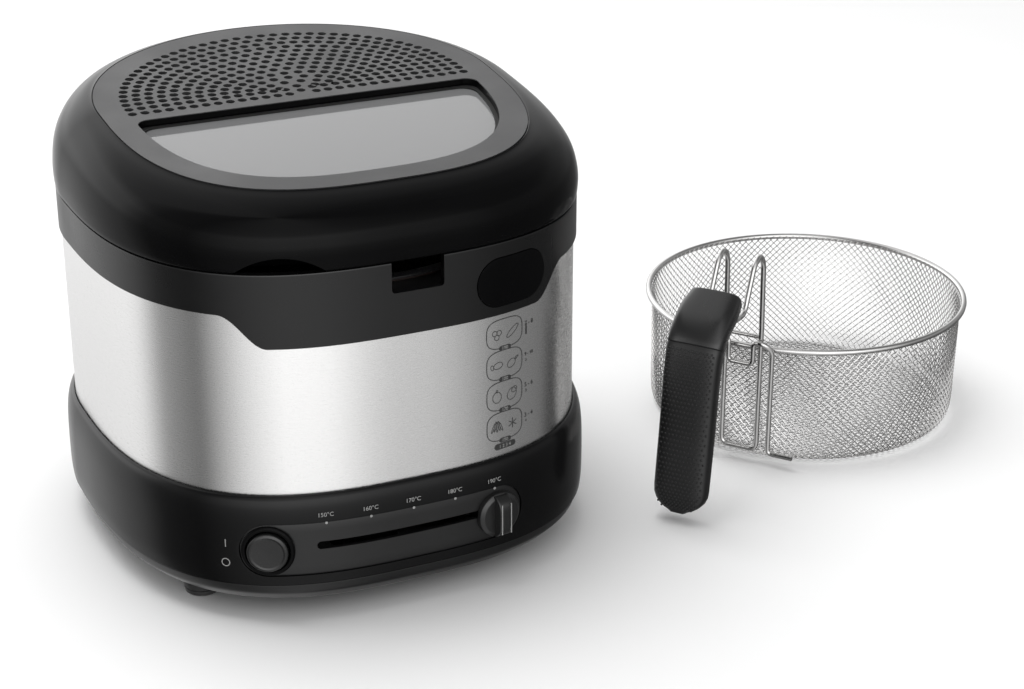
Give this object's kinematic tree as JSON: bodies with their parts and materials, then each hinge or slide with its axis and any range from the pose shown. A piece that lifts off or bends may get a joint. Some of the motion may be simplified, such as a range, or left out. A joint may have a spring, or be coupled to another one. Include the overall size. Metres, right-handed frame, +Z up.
{
  "type": "deep fryer",
  "caption": "Compact electric deep fryer with a hinged viewing lid, slide temperature control, push buttons and a wire basket with a removable handle standing beside it.",
  "frame": {"origin": "on the surface that the feet and the basket stand on, under the middle of the box round the fryer and its basket", "axes": "+Z up, front with the controls towards -Y, the basket stands on the +X side"},
  "size_m": [0.5758, 0.3214, 0.2554],
  "materials": {
    "gloss_black": "polished moulded black",
    "satin_black": "fine satin black",
    "soft_black": "smooth satin black",
    "grip_black": "matt black with fine raised dots",
    "grey_plate": "satin grey",
    "smoked_glass": "greyed by condensation film, polished",
    "rubber": "matt black rubber",
    "heat_rubber": "dark brown heat-proof rubber",
    "brushed_band": "fine horizontal brushing",
    "bowl_coating": "dark non-stick coating",
    "element_steel": "heat-dulled steel",
    "bright_sheet": "bright rolled sheet",
    "zinc": "zinc plated",
    "fuse": "bright can",
    "copper": "drawn copper",
    "cream_plastic": "off-white moulding",
    "wire_sleeve": "red silicone sleeve",
    "filter_mat": "grey felt filter mat",
    "basket_wire": "bright tinned wire"
  },
  "bodies": {
    "housing": {"bottom_pan": "satin_black", "rubber_feet": "rubber", "base_screws": "zinc", "base_shell": "gloss_black", "cord_gland": "rubber", "steel_band": "brushed_band", "top_ring": "gloss_black", "hinge_pin": "zinc", "bowl": "bowl_coating", "bowl_gasket": "heat_rubber", "heating_element": "element_steel", "element_straps": "zinc", "heat_shield": "bright_sheet", "shield_posts": "zinc", "thermal_fuse": "fuse", "sensor_bulb": "copper", "regulator_body": "satin_black", "terminal_block": "cream_plastic", "power_switch": "satin_black", "wiring": "wire_sleeve", "control_fascia": "satin_black", "slide_rail": "satin_black", "button_bezel": "gloss_black", "release_spring": "zinc"},
    "lid": {"lid_shell": "gloss_black", "top_plate": "grey_plate", "window_seal": "rubber", "window_pane": "smoked_glass", "filter_tray": "satin_black", "filter_pad": "filter_mat", "inner_cover": "bright_sheet", "cover_screws": "zinc", "lid_seal": "rubber", "lid_catch": "zinc"},
    "release": {"release_button": "gloss_black", "latch_hook": "zinc"},
    "power": {"power_button": "soft_black", "power_stem": "cream_plastic"},
    "temperature": {"temperature_knob": "soft_black", "slide_carriage": "satin_black"},
    "basket": {"basket_mesh": "basket_wire", "basket_rim": "basket_wire", "basket_bracket": "basket_wire"},
    "handle": {"handle_wire": "basket_wire", "grip_collar": "gloss_black", "grip_body": "grip_black", "grip_screws": "zinc"}
  },
  "joints": [
    {"name": "lid_hinge", "type": "hinge", "parent": "housing", "child": "lid", "pos_m": [-0.14367, 0.14617, 0.203], "axis": [-1, 0, 0], "range_deg": [0, 82]},
    {"name": "release_press", "type": "slide", "parent": "housing", "child": "release", "axis": [0, 1, 0], "range_m": [0, 0.0035], "stiffness_N_per_m": 500, "springref_m": -0.003},
    {"name": "power_press", "type": "slide", "parent": "housing", "child": "power", "axis": [0.448, 0.894, 0], "range_m": [0, 0.003], "stiffness_N_per_m": 500, "springref_m": -0.003},
    {"name": "temperature_slide", "type": "hinge", "parent": "housing", "child": "temperature", "pos_m": [-0.14367, 0.17017, 0.0435], "axis": [0, 0, 1], "range_deg": [-17.6, 0]},
    {"name": "basket_lift", "type": "slide", "parent": "housing", "child": "basket", "axis": [0, 0, 1], "range_m": [0, 0.15]},
    {"name": "handle_lift", "type": "slide", "parent": "basket", "child": "handle", "axis": [0, 0, 1], "range_m": [0, 0.1]}
  ]
}
